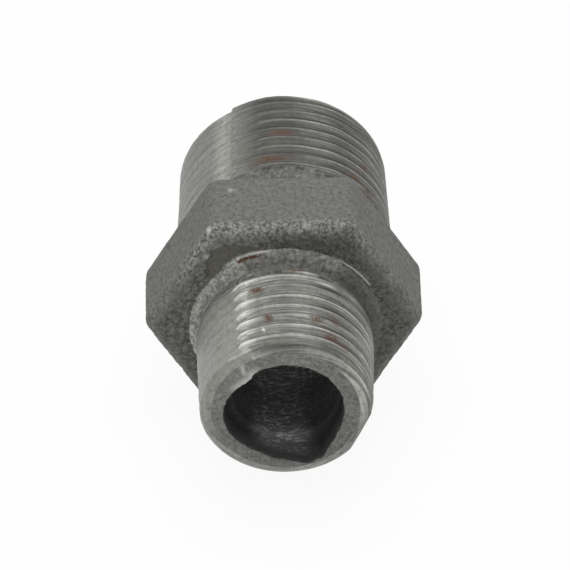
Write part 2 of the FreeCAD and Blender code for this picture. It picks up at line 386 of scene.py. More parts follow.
def off_angle(turn, middle):
    """Degrees from each point to an angle, the shorter way round."""
    return np.abs((np.degrees(turn) - middle + 180) % 360 - 180)


def fade(value, low, high):
    """Share of the way from low to high, eased at both ends."""
    part = np.clip((value - low) / (high - low), 0, 1)
    return part * part * (3 - 2 * part)


def thin_line(off):
    """1 on a thin line and 0 beside it, by the distance from its middle in millimetres."""
    return fade(np.abs(off), 0.16, 0.06)


def worn_lip(distance):
    """How far the edge of a hole has worn back, by the distance from the face."""
    worn = sizes().worn_edge / 2
    return worn * np.clip(1 - distance / worn, 0, 1) ** 2 / 2


def hexagon_radius(turn, inset):
    """Distance from the axis to the hexagon's rounded outline, drawn in by an inset."""
    half_side = math.radians(30)
    apothem = sizes().across_flats / 2 - inset
    corner = sizes().corner_round - inset
    middle = (sizes().across_flats / 2 - sizes().corner_round) / math.cos(half_side)
    off = np.abs((turn + half_side) % (2 * half_side) - half_side)
    flat = apothem / np.cos(half_side - off)
    inside = np.maximum(corner**2 - (middle * np.sin(off)) ** 2, 0.0)
    rounded = middle * np.cos(off) + np.sqrt(inside)
    tangent = math.atan2(corner * math.sin(half_side), middle + corner * math.cos(half_side))
    return np.where(off < tangent, rounded, flat)


def mouth_radius(turn):
    """Distance from the axis to the ragged edge of the mouth."""
    wall = sizes().narrow_bore / 2 / MM
    corners = []
    for place, out, _ in MOUTH:
        around = math.radians(place)
        corners.append(np.array((math.cos(around), math.sin(around))) * (wall + out))
    ray = np.stack((np.cos(turn), np.sin(turn)))
    radii = np.zeros_like(turn)
    for index, (place, _, arc_out) in enumerate(MOUTH):
        following = (index + 1) % len(MOUTH)
        start, finish = corners[index], corners[following]
        span = math.radians((MOUTH[following][0] - place) % 360)
        within = ((turn - math.radians(place)) % TURN) <= span
        half = (finish - start) / 2
        inward = np.array((-half[1], half[0])) / np.hypot(*half)
        if arc_out is None:
            found = (start @ inward) / (inward @ ray)
        else:
            middle = start + half + inward * math.sqrt((wall + arc_out) ** 2 - half @ half)
            along = middle @ ray
            found = along + np.sqrt(along**2 - middle @ middle + (wall + arc_out) ** 2)
        radii = np.where(within, found, radii)
    return radii * MM


class ThreadedEnd:
    """The shape of one threaded end. Distances are from its own face towards the hexagon."""

    wear = UNWORN
    glints = ()
    collar_rings = 7

    def __init__(self, end_sizes, face_at, inward):
        self.sizes = end_sizes
        self.face_at = face_at
        self.inward = inward

    def place(self, distance):
        """Where a distance from the face lies along the casting."""
        return self.face_at + self.inward * distance

    def collar_at(self):
        """Distance at which the neck ends and the collar starts to swell."""
        return self.sizes.thread_length + sizes().neck

    def crest(self, distance):
        """Radius over the thread's crests."""
        return (self.sizes.thread_diameter + sizes().taper * distance) / 2

    def nose(self, distance):
        """Radius of the rounded edge between the face and the crests."""
        end = self.sizes
        inner, outer = self.crest(0.0) - end.face_inset, self.crest(end.nose_length)
        across, along = (outer - inner) / 2, end.nose_length / 2
        half = math.hypot(across, along)
        back = math.sqrt(end.nose_radius**2 - half**2) / half
        middle, level = inner + across - along * back, along + across * back
        return middle + np.sqrt(np.maximum(end.nose_radius**2 - (distance - level) ** 2, 0.0))

    def envelope(self, distance):
        """Outline of the end without its thread."""
        end, casting = self.sizes, sizes()
        run_out = end.thread_length - casting.run_out
        neck = self.crest(end.thread_length) - casting.neck_depth
        places = (end.nose_length, run_out, end.thread_length, self.collar_at(), end.end_length)
        radii = (self.crest(end.nose_length), self.crest(run_out), neck, neck, end.collar_diameter / 2)
        return np.where(distance < end.nose_length, self.nose(distance), np.interp(distance, places, radii))

    def blank(self, distance, turn):
        """Radius of the metal left of the mould's joint, and a metre where it has no effect."""
        beside, slip = past_joint(turn), self.sizes.slip
        short = np.sqrt(self.crest(distance) ** 2 - (slip * np.sin(beside)) ** 2) - slip * np.cos(beside)
        short = short + self.sizes.collar_fill * fade(distance, self.collar_at(), self.sizes.end_length)
        return np.where(beside < TURN / 4, short, 1.0)

    def lead(self, distance, turn):
        """Distance measured along the axis from the thread's own crest on that side."""
        return distance - self.sizes.first_crest - self.inward * sizes().pitch * (TURN / 4 - turn) / TURN

    def groove(self, distance, turn):
        """Depth of the thread's groove, from 0 at a crest to 1 at the root."""
        pitch = sizes().pitch
        places, depths = zip(*THREAD_FORM, (pitch / MM, 0.0))
        return np.interp((self.inward * self.lead(distance, turn)) % pitch / MM, places, depths)

    def surfaces(self, distance, turn):
        """Distance from the axis of the whole thread and of the short metal left of the joint."""
        threaded = distance < self.sizes.thread_length
        waver = 1.0 + 0.3 * uneven(ring_places(turn, along=distance / MM), 0.31)
        depth = self.sizes.thread_depth * self.groove(distance, turn) * waver
        depth = np.where(threaded, depth * fade(distance, 0.1 * MM, 1.6 * MM), 0.0)
        crest = np.where(threaded, self.crest(distance), 1.0)
        whole = np.minimum(self.envelope(distance), crest - by_angle(turn, self.wear) * MM)
        full = np.minimum(crest - depth, whole)
        shallow = depth * by_angle(past_joint(turn), SHORT_GROOVE)
        short = np.minimum(np.minimum(crest, self.blank(distance, turn)) - shallow, whole)
        return full, short

    def wedges(self, distance, turn):
        """The thread's torn ends, which fall away to the left of the joint and leave a row of points."""
        full, short = self.surfaces(distance, turn)
        beside, start = past_joint(turn), self.sizes.torn_from
        reach = self.sizes.torn + math.radians(self.sizes.torn_lean) * distance / MM
        past = np.maximum(beside - start, 0.0) / (reach - start)
        fallen = full - self.sizes.slip * past * (1 + 1.5 * self.groove(distance, turn))
        return np.where(beside < reach, fallen - short, -1.0), short

    def radius(self, distance, turn):
        """Distance of the surface from the axis."""
        above, short = self.wedges(np.broadcast_to(distance, turn.shape), turn)
        return short + np.maximum(above, 0.0)

    def cast_share(self, distance, turn):
        """Share of the raw casting that still shows where the thread runs out, with a ragged edge."""
        end = self.sizes.thread_length + 0.6 * MM * uneven(ring_places(turn), 0.8)
        return fade(distance, end - 1.5 * MM, end - 1.15 * MM)

    def groove_shade(self, distance, turn, left, torn):
        """Painted shade in the grooves, and a level on worn crests that leaves them without painted shade or
        crest highlight.
        """
        shade = by_angle(turn, self.shade)
        shade = np.where(left, SMOOTH_SHADE + (shade - SMOOTH_SHADE) * torn, shade)
        worn = 0.3 * fade(by_angle(turn, self.wear), 0.3, 0.5)
        return np.maximum(self.groove(distance, turn) * shade * fade(distance, 0.0, 1.2 * MM), worn)

    def torn_highlight(self, distance, turn, left, torn):
        """Painted highlight on the thread's torn ends, and on the crests just before them."""
        off_joint = (past_joint(turn) + math.pi) % TURN - math.pi
        near = fade(np.degrees(off_joint), HIGHLIGHT_FROM, HIGHLIGHT_TO) * np.where(left, torn, 1.0)
        along = fade(distance, -0.4 * MM, 1.4 * MM) * (1 - 0.5 * fade(distance, 7 * MM, 12 * MM))
        return 1.7 * self.sizes.torn_shine * along * near * (1 - self.groove(distance, turn)) ** 3.5

    def marks(self, distance, turn, radius):
        """What the finish is told about each point of a ring."""
        distance = np.broadcast_to(distance, turn.shape)
        above, _ = self.wedges(distance, turn)
        left = past_joint(turn) < TURN / 4
        torn = fade(above, 0.0, TORN_HEIGHT * MM) * left
        smooth = left * (1 - torn)
        raw = self.cast_share(distance, turn)
        highlight = self.torn_highlight(distance, turn, left, torn)
        return {
            "cut_iron": 1.0 - 0.85 * raw,
            # The groove mark: painted shade in the grooves, less where the thread runs out
            "groove": self.groove_shade(distance, turn, left, torn) * (1 - 0.7 * raw),
            "grain": 0.2 + 0.5 * smooth + 1.3 * raw,
            "edge": 0.6 * raw,
            # Painted highlights on the torn ends and at the glints
            "bright": np.maximum(highlight, spot_mask(self.glints, distance, turn, radius)),
            "rust": spot_mask(self.rust, distance, turn, radius),
            # Painted light and shade by angle, with a painted shadow along the ragged edge where the thread
            # runs out
            "tone": by_angle(turn, self.tone) * (1 - raw) + raw * (0.85 - 2.2 * (1 - raw)),
            "streak": (1.0 - (1.0 - self.sizes.smooth_streaks) * smooth) * (1 - raw),
            "around": turn * radius / MM,
            "lead": self.lead(distance, turn) / MM,
        }

    def collar_marks(self, swell, turn, radius):
        """What the finish is told about the collar, by its swell from 0 at the neck to 1 at the hexagon."""
        # The collar is darkened by painted shade
        return {
            "cut_iron": 0.1, "grain": 1.0 + 0.8 * swell, "edge": 0.6, "tone": 0.57, "streak": 0.0,
            "groove": 0.0, "bright": 0.0,
        }


class LargeEnd(ThreadedEnd):
    """The large end, with its crests rubbed down beside the joint."""

    tone = LARGE_END_PAINTED_LIGHT
    shade = LARGE_END_SHADE
    wear = LARGE_END_WEAR
    rust = LARGE_END_RUST


class SmallEnd(ThreadedEnd):
    """The small end, with the flat that a knock has left on its nose and the lap round its collar."""

    tone = SMALL_END_PAINTED_LIGHT
    shade = SMALL_END_SHADE
    rust = SMALL_END_RUST
    glints = SMALL_END_GLINTS
    collar_rings = 16

    def radius(self, distance, turn):
        end = self.sizes
        found = super().radius(distance, turn)
        at_face, at_end = self.crest(0.0) - end.knock_depth, self.crest(end.knock_length)
        flat = at_face + (at_end - at_face) * distance / end.knock_length
        facing = np.cos(turn - end.knock_angle)
        knocked = (facing > 0.5) & (distance < end.knock_length)
        return np.where(knocked, np.minimum(found, flat / np.maximum(facing, 0.5)), found)

    def collar_marks(self, swell, turn, radius):
        # Painted shade on the dark side and at the neck, lighter towards the hexagon, and painted light at
        # the neck left of the joint; the lines by the neck on the dark side are the thread running out
        dark = fade(off_angle(turn, DARK_SIDE), 68.0, 54.0)
        lines = dark * (1 - fade(swell, 0.0, 0.15))
        tone = (0.82 + 1.1 * swell**0.4) * (1 - 0.5 * dark)
        tone = tone + (0.85 - 0.35 * swell) * (past_joint(turn) < TURN / 4)
        marks = super().collar_marks(swell, turn, radius)
        marks.update(cut_iron=0.1 + 0.4 * lines, edge=0.6 - 0.3 * dark, tone=tone, streak=lines)
        marks.update(lap_marks(turn, radius))
        return marks


class Skin:
    """Rings of points that cover the casting, and the marks on them that the finish reads."""

    MARKS = (
        "cut_iron", "groove", "hole", "grain", "edge", "rust", "olive", "bright", "tone", "streak", "around",
        "lead",
    )

    def __init__(self, turn):
        self.turn = turn
        self.points = []
        self.marks = {name: [] for name in self.MARKS}
        self.faces = []

    def ring(self, along, radius, tone=1.0, **marks):
        """Add one ring of points, with the marks that aren't 0."""
        shape = self.turn.shape
        marks["tone"] = tone
        along, radius = np.broadcast_to(along, shape), np.broadcast_to(radius, shape)
        up = sizes().across_flats / 2 + radius * np.sin(self.turn)
        self.points.append(np.stack((radius * np.cos(self.turn), along, up), axis=1))
        for name in self.MARKS:
            self.marks[name].append(np.broadcast_to(marks.get(name, 0.0), shape))

    def join(self, first, second, shift=0, start=0):
        """Quads between two rings. Where helical rows close, the last quad meets rows further on."""
        count = len(self.turn)
        for column in range(count - 1):
            near, far = first * count + column, second * count + column
            self.faces.append((near, near + 1, far + 1, far))
        near, far = first + shift, second + shift
        if start <= near < len(self.points) and start <= far < len(self.points):
            last = count - 1
            self.faces.append((first * count + last, near * count, far * count, second * count + last))

    def join_since(self, start):
        for row in range(start, len(self.points) - 1):
            self.join(row, row + 1)


def spot_mask(spots, distance, turn, radius):
    """Soft-edged spots on an end, 1 in the middle of each."""
    mask = np.zeros(np.broadcast(distance, turn).shape)
    for place, along, half_round, half_along in spots:
        around = (turn - math.radians(place) + math.pi) % TURN - math.pi
        far = np.hypot(around * radius / (half_round * MM), (distance - along * MM) / (half_along * MM))
        mask = np.maximum(mask, np.clip(1.5 - far, 0, 1))
    return mask


def add_nose(skin, end, order):
    """Rings round the edge of the face, up to where the rows of the thread begin."""
    for distance in NOSE_RINGS[::order]:
        radius = end.radius(distance * MM, skin.turn)
        skin.ring(end.place(distance * MM), radius, **end.marks(distance * MM, skin.turn, radius))


def add_thread(skin, end):
    """Rows that follow the helix, cut off at the nose and at the neck."""
    pitch = sizes().pitch
    fractions = sorted(round(end.inward * place * MM / pitch, 6) % 1.0 for place, _ in THREAD_FORM)
    turns = math.ceil(end.sizes.thread_length / pitch) + 2
    start = len(skin.points)
    for whole in range(-3, turns):
        for fraction in fractions:
            offset = (whole + fraction) * pitch
            distance = offset - end.lead(0.0, skin.turn)
            distance = np.clip(distance, NOSE_RINGS[-1] * MM, end.sizes.thread_length)
            radius = end.radius(distance, skin.turn)
            skin.ring(end.place(distance), radius, **end.marks(distance, skin.turn, radius))
    shift = -end.inward * len(fractions)
    for row in range(start, len(skin.points) - 1):
        skin.join(row, row + 1, shift, start)


def add_shoulder(skin, end, order):
    """Neck behind a thread and the collar that swells from it to the hexagon."""
    begin, collar, finish = end.sizes.thread_length, end.collar_at(), end.sizes.end_length
    places = [begin + step * MM for step in (0.0, 0.2, 0.4, 0.6)]
    places += [collar + (finish - collar) * part for part in np.linspace(0, 1, end.collar_rings + 1)]
    ragged = end.sizes.collar_ragged * uneven(ring_places(skin.turn), 0.9)
    for distance in places[::order]:
        radius = end.radius(distance, skin.turn)
        marks = end.marks(distance, skin.turn, radius)
        if distance > begin:
            swell = max(0.0, (distance - collar) / (finish - collar))
            marks.update(end.collar_marks(swell, skin.turn, radius))
        shift = ragged if begin < distance < finish else 0.0
        skin.ring(end.place(distance + shift), radius, **marks)


def lap_marks(turn, radius):
    """The lap's edge, which carries a painted highlight, and the rusted pit under it, told by how far a
    point is from the lap.
    """
    angles = np.degrees(turn) % 360
    off = radius / MM - by_angle(turn, LAP)
    first, last = LAP[0][0], LAP[-1][0]
    within = fade(angles, first, first + 4.0) * fade(angles, last + 0.5, last - 1.0)
    pit = within * fade(angles, PIT_FROM, PIT_FROM + 2.5) * fade(np.abs(off + 0.22), 0.27, 0.14)
    return {"bright": within * thin_line(off - 0.12), "rust": PIT_RUST * pit}


def hexagon_glints(turn, behind, radius):
    """How bright the painted highlights on the hexagon make each point of a ring."""
    points = np.stack((radius * np.cos(turn), np.broadcast_to(behind, turn.shape), radius * np.sin(turn)))
    mask = np.zeros(turn.shape)
    for *middle, half, brightness in HEXAGON_GLINTS:
        far = np.linalg.norm(points / MM - np.array(middle)[:, None], axis=0) / half
        mask = np.maximum(mask, brightness * np.clip(1.6 - far, 0, 1))
    return mask


def add_front_face(skin, front, inner):
    """The hexagon's face towards the small end, with the lap, the burr and the smooth patch."""
    casting, turn = sizes(), skin.turn
    outline = hexagon_radius(turn, casting.small_side_round)
    angles = np.degrees(turn) % 360
    burred = fade(angles, BURR_FROM, BURR_FROM + 4.0) * fade(angles, BURR_TO, BURR_TO - 5.0)
    for part in np.linspace(0, 1, 23)[1:]:
        radius = inner + (outline - inner) * part
        ragged = 0.35 * uneven(ring_places(turn, radius / MM), 1.1)
        patch = fade(by_angle(turn, SMOOTH_PATCH) - radius / MM + ragged, 0.0, 0.15)
        burr = burred * thin_line(radius / MM - BURR_RADIUS)
        lap = lap_marks(turn, radius)
        # The lap's edge line both stands up from the face and carries a painted highlight
        raised = casting.lap_height * np.maximum(burr, lap["bright"])
        sunk = casting.patch_depth * patch + casting.pit_depth * lap["rust"] / PIT_RUST
        # Painted highlights on the lap's edge and the burr; the face gets painted light and shade by angle,
        # a little lighter on the smooth patch
        rubbed = np.maximum(lap["bright"], 0.9 * burr)
        skin.ring(
            front - raised + sunk,
            radius,
            grain=1.25 - 0.85 * patch,
            tone=by_angle(turn, FACE_PAINTED_LIGHT) + 0.25 * patch,
            olive=0.8 * patch * (1 - lap["bright"]),
            bright=np.maximum(rubbed, hexagon_glints(turn, 0.0, radius)),
            rust=lap["rust"],
            edge=0.55 * (1 - patch),
        )


def add_front_edge(skin, front):
    """The hexagon's rounded edge towards the small end, with the strongest lumps on top."""
    casting, turn = sizes(), skin.turn
    lumps = 0.45 + 0.55 * fade(off_angle(turn, LUMPY_SIDE), 60.0, 38.0)
    for quarter in range(9, 91, 9):
        bend = math.radians(quarter)
        behind = casting.small_side_round * (1 - math.cos(bend))
        radius = hexagon_radius(turn, casting.small_side_round * (1 - math.sin(bend)))
        # Painted light and shade of the face, fading round the bend, and a painted highlight along the
        # middle of the rounded edge
        tone = 1 + (by_angle(turn, FACE_PAINTED_LIGHT) - 1) * math.cos(bend) + 0.2 * math.sin(2 * bend)
        edge = (0.4 + 0.55 * math.sin(1.5 * bend) ** 2) * lumps
        glints = hexagon_glints(turn, behind, radius)
        skin.ring(front + behind, radius, grain=1.5, edge=edge, tone=tone, bright=glints)


def add_flats(skin, front, back):
    """The six flats and the rounded corners between them."""
    start, finish = front + sizes().small_side_round, back - sizes().large_side_round
    radius = hexagon_radius(skin.turn, 0.0)
    for part in np.linspace(0, 1, 27)[1:-1]:
        along = start + (finish - start) * part
        glints = hexagon_glints(skin.turn, along - front, radius)
        skin.ring(along, radius, grain=0.9, edge=max(0.12, 0.4 - 4 * part), bright=glints)


def add_back_face(skin, back, inner):
    """The hexagon's edge towards the large end and the face inside it."""
    edge_round = sizes().large_side_round
    for quarter in (90, 68, 45, 22, 0):
        bend = math.radians(quarter)
        radius = hexagon_radius(skin.turn, edge_round * (1 - math.sin(bend)))
        along = back - edge_round * (1 - math.cos(bend))
        skin.ring(along, radius, grain=0.7, edge=0.2 * math.sin(2 * bend))
    outline = hexagon_radius(skin.turn, edge_round)
    for part in (0.75, 0.5, 0.25, 0.08):
        skin.ring(back, inner + (outline - inner) * part, grain=1.0)


def add_hexagon(skin, small, large):
    """The hexagon, from the foot of the small collar to the foot of the large one."""
    front, back = small.place(small.sizes.end_length), large.place(large.sizes.end_length)
    add_front_face(skin, front, small.radius(small.sizes.end_length, skin.turn))
    add_front_edge(skin, front)
    add_flats(skin, front, back)
    add_back_face(skin, back, large.radius(large.sizes.end_length, skin.turn))


def add_narrow_hole(skin, small):
    """The wall of the narrow hole, from the cone to the ledge behind the mouth."""
    casting = sizes()
    cone_at = HIGH.y - LOW.y - casting.wide_depth - casting.bore_cone
    floor = fade(off_angle(skin.turn, HOLE_FLOOR), 42.0, 14.0)
    for distance in np.linspace(cone_at, casting.mouth_depth + 0.15 * MM, 30):
        deep = float(fade(distance, casting.mouth_depth, casting.mouth_depth + 5 * MM))
        # Painted light and shade: dark just behind the mouth, lighter deeper in and towards the cone, and a
        # pool of painted light on the lower side that is strongest near the mouth
        tone = 0.3 + 0.5 * deep + 1.2 * fade(distance, 10 * MM, 15 * MM) + (1.5 - 0.9 * deep) * floor
        skin.ring(small.place(distance), casting.narrow_bore / 2, hole=1.0, grain=1.8, tone=tone)


def add_mouth(skin, small, ragged):
    """The wall of the ragged mouth, from its ledge to its worn lip."""
    casting = sizes()
    ledge = casting.narrow_bore / 2 - casting.mouth_ledge
    floor = fade(off_angle(skin.turn, HOLE_FLOOR), 38.0, 14.0)
    for share_left in (1.0, 0.85, 0.7, 0.56, 0.44, 0.33, 0.24, 0.16, 0.1, 0.05, 0.02, 0.0):
        distance = casting.mouth_depth * share_left
        radius = np.maximum(ledge, ragged - distance * math.tan(casting.mouth_taper))
        # Painted light and shade: darker towards the ledge, with a pool of painted light on the lower side
        # of its inner part
        tone = 0.42 - 0.27 * share_left + 0.9 * float(fade(share_left, 0.25, 0.75)) * floor
        hole = min(1.0, 0.4 + 20 * share_left)
        skin.ring(small.place(distance), radius + worn_lip(distance), hole=hole, grain=0.9, tone=tone)


def add_small_face(skin, small, ragged):
    """The face of the small end, with painted light and shade, and painted highlights at its mouth and along
    the mould's seam.
    """
    turn = skin.turn
    inner, outer = ragged + sizes().worn_edge / 4, small.radius(0.0, turn)
    for part in (0.0, 0.06, 0.14, 0.24, 0.34, 0.45, 0.56, 0.68, 0.8, 0.92):
        radius = inner + (outer - inner) * part
        across, up = radius * np.cos(turn) / MM, radius * np.sin(turn) / MM
        off_seam = np.abs(across - SEAM_ACROSS - SEAM_LEAN * up)
        seam = fade(off_seam, 0.4, 0.08) * (up > 0) * fade(part, 0.2, 0.5)
        mouth_highlight = by_angle(turn, MOUTH_HIGHLIGHT) * max(0.0, 1 - 2 * part)
        # Painted light and shade by angle, and painted highlights on the mouth's lip and along the seam
        skin.ring(
            small.place(0.0),
            radius,
            cut_iron=0.2,
            grain=0.6,
            edge=0.4,
            tone=by_angle(turn, SMALL_FACE_PAINTED_LIGHT),
            bright=np.maximum(mouth_highlight, 0.65 * seam),
        )
    skin.ring(small.place(0.0), outer, **small.marks(0.0, turn, outer))


def add_large_face(skin, large):
    """The flat face of the large end, in to the worn lip of the wide hole."""
    worn = sizes().worn_edge / 2
    inner, outer = sizes().wide_bore / 2, large.radius(0.0, skin.turn)
    for part in (0.92, 0.8, 0.65, 0.5, 0.3, 0.15, 0.0):
        radius = inner + worn / 2 + (outer - inner - worn / 2) * part
        skin.ring(large.place(0.0), radius, cut_iron=0.5, grain=0.35)
    for distance in (0.3 * worn, worn):
        skin.ring(large.place(distance), inner + worn_lip(distance), hole=0.3, grain=0.5)


def add_wide_hole(skin, large):
    """The wall of the wide hole and the cone that narrows it to the other one."""
    casting = sizes()
    wide, narrow = casting.wide_bore / 2, casting.narrow_bore / 2
    for part in np.linspace(0, 1, 18)[1:]:
        skin.ring(large.place(casting.wide_depth * part), wide, hole=min(1.0, 0.3 + 4 * part), grain=0.9)
    for part in (0.33, 0.67):
        distance = casting.wide_depth + casting.bore_cone * part
        skin.ring(large.place(distance), wide + (narrow - wide) * part, hole=1.0, grain=0.9)


def build_skin():
    """All the rings, from the narrow hole out over the small end and back in at the large one."""
    scene = bpy.context.scene
    skin = Skin(column_angles())
    small = SmallEnd(scene.nipple_small_end, LOW.y, 1)
    large = LargeEnd(scene.nipple_large_end, HIGH.y, -1)

    mouth = mouth_radius(skin.turn) + sizes().mouth_ragged * uneven(ring_places(skin.turn, 7.0), 1.3)
    add_narrow_hole(skin, small)
    add_mouth(skin, small, mouth)
    add_small_face(skin, small, mouth)
    skin.join_since(0)

    start = len(skin.points)
    add_nose(skin, small, 1)
    skin.join_since(start)
    add_thread(skin, small)

    start = len(skin.points)
    add_shoulder(skin, small, 1)
    add_hexagon(skin, small, large)
    add_shoulder(skin, large, -1)
    skin.join_since(start)

    add_thread(skin, large)
    start = len(skin.points)
    add_nose(skin, large, -1)
    add_large_face(skin, large)
    add_wide_hole(skin, large)
    skin.join_since(start)
    skin.join(len(skin.points) - 1, 0)
    return skin


def roughen(mesh):
    """Raise and sink the surface by the sand's grain, as much as its mark says, in coarse and fine noise."""
    count = len(mesh.vertices)
    points, normals, grain = np.empty(count * 3), np.empty(count * 3), np.empty(count)
    mesh.vertices.foreach_get("co", points)
    mesh.vertices.foreach_get("normal", normals)
    mesh.attributes["grain"].data.foreach_get("value", grain)
    points, normals = points.reshape(-1, 3), normals.reshape(-1, 3)
    height = np.zeros(count)
    for scale, share in ((0.5, 0.5), (1.1, 0.55), (2.4, 0.75)):
        height += share * uneven(points / MM, scale)
    height *= grain * sizes().cast_grain
    mesh.vertices.foreach_set("co", (points + normals * height[:, None]).ravel())


def mesh_from(skin, name):
    """One closed mesh, with the rows that the face and the neck cut off merged away."""
    points = np.concatenate(skin.points)
    mesh = bpy.data.meshes.new(name)
    mesh.from_pydata(points.tolist(), [], skin.faces)
    for mark, rows in skin.marks.items():
        layer = mesh.attributes.new(mark, "FLOAT", "POINT")
        layer.data.foreach_set("value", np.concatenate(rows).astype(np.float32))
    shape = bmesh.new()
    shape.from_mesh(mesh)
    bmesh.ops.remove_doubles(shape, verts=shape.verts, dist=MERGE_WITHIN * MM)
    loose = [vertex for vertex in shape.verts if not vertex.link_faces]
    bmesh.ops.delete(shape, geom=loose, context="VERTS")
    bmesh.ops.recalc_face_normals(shape, faces=shape.faces)
    for face in shape.faces:
        face.smooth = True
    shape.to_mesh(mesh)
    shape.free()
    roughen(mesh)
    mesh.update()
    return mesh


class Finish:
    """Builds one material from nodes, with short words for the nodes that it uses most."""

    def __init__(self, name):
        self.material = bpy.data.materials.new(name)
        self.material.use_nodes = True
        self.tree = self.material.node_tree
        self.shader = self.tree.nodes["Principled BSDF"]
        place = self.node("ShaderNodeTexCoord").outputs["Object"]
        self.millimetres = self.times(place, 1 / MM)

    def node(self, kind, inputs=None, **settings):
        """A new node, with links or values on its inputs."""
        made = self.tree.nodes.new(kind)
        for name, value in settings.items():
            setattr(made, name, value)
        for socket, value in (inputs or {}).items():
            if isinstance(value, bpy.types.NodeSocket):
                self.tree.links.new(value, made.inputs[socket])
            else:
                made.inputs[socket].default_value = value
        return made

    def mark(self, name):
        """One of the marks that the skin carries on its points."""
        return self.node("ShaderNodeAttribute", attribute_name=name).outputs["Fac"]

    def noise(self, place, scale, detail, roughness, distortion=0.0):
        inputs = {"Vector": place, "Scale": scale, "Detail": detail, "Roughness": roughness}
        return self.node("ShaderNodeTexNoise", {**inputs, "Distortion": distortion}).outputs["Fac"]

    def grain(self, scale, detail=3.0, roughness=0.6):
        return self.noise(self.millimetres, scale, detail, roughness)

    def scratches(self, around, along):
        """Noise drawn out along the thread: how fine it is round the axis, and across the thread."""
        across = self.product(self.mark("lead"), along)
        inputs = {0: self.product(self.mark("around"), around), 1: across}
        return self.noise(self.node("ShaderNodeCombineXYZ", inputs).outputs[0], 1.0, 3.0, 0.65)

    def folds(self):
        """Noise in short lines across the hole."""
        inputs = {0: self.millimetres, 1: (0.9, 2.6, 2.6)}
        place = self.node("ShaderNodeVectorMath", inputs, operation="MULTIPLY").outputs[0]
        return self.noise(place, 1.0, 4.0, 0.7, distortion=0.7)

    def between(self, value, low, high, start=0.0, finish=1.0):
        """A number that goes from start to finish while the value goes from low to high."""
        inputs = {0: value, 1: low, 2: high, 3: start, 4: finish}
        return self.node("ShaderNodeMapRange", inputs).outputs[0]

    def maths(self, operation, first, second):
        return self.node("ShaderNodeMath", {0: first, 1: second}, operation=operation).outputs[0]

    def product(self, first, *others):
        for other in others:
            first = self.maths("MULTIPLY", first, other)
        return first

    def colours(self, amount, first, second):
        """The first colour where the amount is 0 and the second where it is 1."""
        inputs = {0: amount}
        for socket, value in ((6, first), (7, second)):
            inputs[socket] = value if isinstance(value, bpy.types.NodeSocket) else (*value, 1.0)
        return self.node("ShaderNodeMix", inputs, data_type="RGBA").outputs[2]

    def cover(self, below, above, *amounts):
        """One colour over another, as much as the product of the amounts says."""
        return self.colours(self.product(*amounts), below, above)

    def times(self, colour, amount):
        return self.node("ShaderNodeVectorMath", {0: colour, "Scale": amount}, operation="SCALE").outputs[0]

    def values(self, amount, first, second):
        return self.node("ShaderNodeMix", {0: amount, 2: first, 3: second}, data_type="FLOAT").outputs[0]


def cast_skin(made, colour, clumps, sand, edge):
    """Colour of the raw casting: a pitted skin, bright grains, and lumps where its edges are rubbed."""
    lumpy = made.colours(made.between(made.grain(1.7, 5.0, 0.62), 0.43, 0.57), colour.pits, colour.lumps)
    specks = made.grain(2.5, 5.0, 0.75)
    skin = made.colours(made.between(clumps, 0.33, 0.55), colour.pits, colour.skin)
    skin = made.cover(skin, lumpy, edge, 0.75)
    skin = made.cover(skin, colour.sparkle, made.between(sand, 0.58, 0.72), 0.5)
    skin = made.cover(skin, colour.sparkle, edge, made.between(specks, 0.52, 0.6), 0.7)
    return made.cover(skin, colour.pits, edge, made.between(specks, 0.48, 0.4), 0.85)


def cut_thread(made, colour, clumps, fine, streak):
    """Colour of the machined thread: painted shade in the grooves, painted crest highlights, dark scores and
    bright scratches.
    """
    groove, broad = made.mark("groove"), made.scratches(0.07, 1.3)
    # Painted highlights on the crests, partly the rubbed metal's lighter colour
    crests = made.product(made.between(groove, 0.16, 0.02), made.between(broad, 0.38, 0.62))
    thread = made.colours(made.between(groove, 0.3, 0.85), colour.cut, colour.root)
    thread = made.cover(thread, colour.root, made.between(fine, 0.56, 0.42), streak, 0.5)
    thread = made.cover(thread, colour.crest, crests, streak, 0.75)
    thread = made.cover(thread, colour.crest, made.between(fine, 0.56, 0.72), streak, 0.4)
    return made.cover(thread, colour.root, made.between(clumps, 0.52, 0.36), 0.4)


def hole_wall(made, colour, folded, tone):
    """Colour of the hole: soot and folds of scale, times the painted light; the folds show most where it is
    strong.
    """
    shown = made.between(tone, 0.5, 1.5, 0.25, 1.0)
    wall = made.cover(colour.soot, colour.scale, made.between(folded, 0.5, 0.62), shown)
    return made.times(wall, tone)


